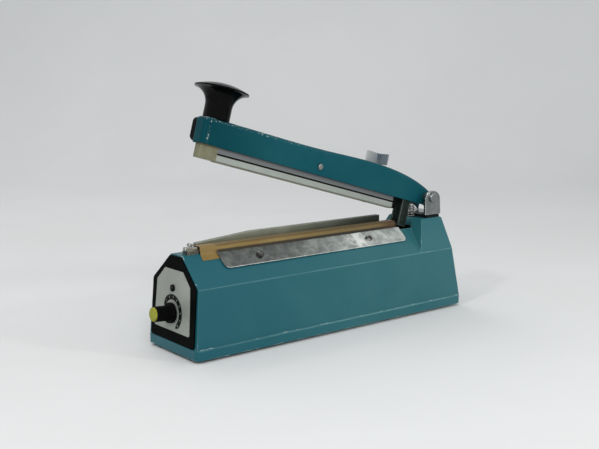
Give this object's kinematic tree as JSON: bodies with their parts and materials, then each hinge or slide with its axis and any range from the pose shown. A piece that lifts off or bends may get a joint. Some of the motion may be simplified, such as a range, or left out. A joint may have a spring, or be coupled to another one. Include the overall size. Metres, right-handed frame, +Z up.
{
  "type": "bag sealer",
  "caption": "Hand impulse bag sealer: sloped sheet metal base with timer knob, hinged arm with mushroom handle, rocking press bar over a heated strip, and a sliding bag cutter on the arm.",
  "frame": {"origin": "table level under the feet, in the middle of the length from the timer knob to the rear of the plinth and in the middle of the width", "axes": "+X to the rear where the hinge is, -X to the front with the timer knob, +Y to the cutter side, +Z up"},
  "size_m": [0.3376, 0.08, 0.2274],
  "materials": {
    "teal_paint": "gloss baked enamel",
    "zinc_steel": "galvanised",
    "screw_steel": "zinc plated",
    "foot_rubber": "matte",
    "panel_black": "satin moulded",
    "dial_silver": "satin anodised with printed dial",
    "lamp_lens": "dark lens, unlit",
    "bezel_black": "moulded",
    "knob_black": "moulded",
    "cap_yellow": "satin",
    "shaft_brass": "turned",
    "potentiometer_body": "plated",
    "board_green": "circuit board",
    "component_black": "moulded",
    "core_steel": "varnished laminations",
    "coil_copper": "taped copper winding",
    "bed_plastic": "heat-proof laminate",
    "element_ribbon": "rolled ribbon",
    "terminal_plastic": "moulded",
    "clip_brass": "stamped",
    "cloth_brown": "coated woven glass cloth",
    "rail_aluminium": "extruded",
    "pad_black": "matte",
    "bracket_chrome": "plated",
    "spring_steel": "drawn wire",
    "striker_dark": "dark enamel",
    "switch_black": "moulded",
    "button_red": "moulded",
    "gland_black": "moulded",
    "handle_black": "polished phenolic",
    "rail_black": "moulded",
    "strip_silicone": "silicone",
    "block_cream": "moulded",
    "tab_chrome": "plated",
    "blade_steel": "ground"
  },
  "bodies": {
    "base": {"base_housing": "teal_paint", "bottom_plate": "zinc_steel", "bottom_plate_screws": "screw_steel", "rubber_feet": "foot_rubber", "front_panel": "panel_black", "dial_plate": "dial_silver", "indicator_lamp": "lamp_lens", "lamp_bezel": "bezel_black", "timer_potentiometer": "potentiometer_body", "potentiometer_nut": "screw_steel", "timer_board": "board_green", "board_components": "component_black", "transformer_core": "core_steel", "transformer_coil": "coil_copper", "transformer_strap": "zinc_steel", "transformer_screws": "screw_steel", "element_bed": "bed_plastic", "heating_element": "element_ribbon", "terminal_blocks": "terminal_plastic", "terminal_clips": "clip_brass", "terminal_screws": "screw_steel", "ptfe_cloth": "cloth_brown", "clamp_plate": "zinc_steel", "clamp_screws": "screw_steel", "cutter_guide_rail": "rail_aluminium", "guide_rail_screws": "screw_steel", "bracket_pad": "pad_black", "hinge_bracket": "bracket_chrome", "bracket_screws": "screw_steel", "hinge_pin": "bracket_chrome", "pin_clip": "zinc_steel", "hinge_spacers": "zinc_steel", "return_spring": "spring_steel", "micro_switch": "switch_black", "switch_bracket": "zinc_steel", "switch_screws": "screw_steel", "cord_gland": "gland_black"},
    "arm": {"arm_channel": "teal_paint", "hinge_sleeve": "zinc_steel", "arm_handle": "handle_black", "handle_screw": "screw_steel", "press_bar_pin": "bracket_chrome", "striker_bracket": "striker_dark", "cutter_rail": "rail_black", "cutter_rail_screws": "screw_steel"},
    "press_bar": {"press_bar": "rail_aluminium", "silicone_strip": "strip_silicone", "front_end_block": "block_cream", "rear_end_block": "block_cream"},
    "cutter": {"cutter_carriage": "rail_black", "thumb_tab": "tab_chrome", "cutter_blade": "blade_steel", "blade_rivets": "screw_steel"},
    "timer_knob": {"timer_knob": "knob_black", "knob_cap": "cap_yellow", "timer_shaft": "shaft_brass"},
    "switch_button": {"switch_button": "button_red"}
  },
  "joints": [
    {"name": "arm_hinge", "type": "hinge", "parent": "base", "child": "arm", "pos_m": [0.14224, -0.0045, 0.1119], "axis": [0, 1, 0], "range_deg": [-15.5, 0], "stiffness_Nm_per_rad": 2, "springref_deg": 34.38, "deforming": ["return_spring"]},
    {"name": "press_bar_float", "type": "hinge", "parent": "arm", "child": "press_bar", "pos_m": [0.00232, -0.0045, 0.1507], "axis": [0, 1, 0], "range_deg": [-0.3, 0.3]},
    {"name": "cutter_slide", "type": "slide", "parent": "arm", "child": "cutter", "axis": [-0.9636, 0, 0.2672], "range_m": [0, 0.16]},
    {"name": "timer_knob_turn", "type": "hinge", "parent": "base", "child": "timer_knob", "pos_m": [-0.14767, 0, 0.03582], "axis": [-0.9968, 0, 0.0802], "range_deg": [-135, 135]},
    {"name": "switch_press", "type": "slide", "parent": "base", "child": "switch_button", "axis": [0, 0, -1], "range_m": [0, 0.0012], "stiffness_N_per_m": 600, "springref_m": -0.001}
  ]
}
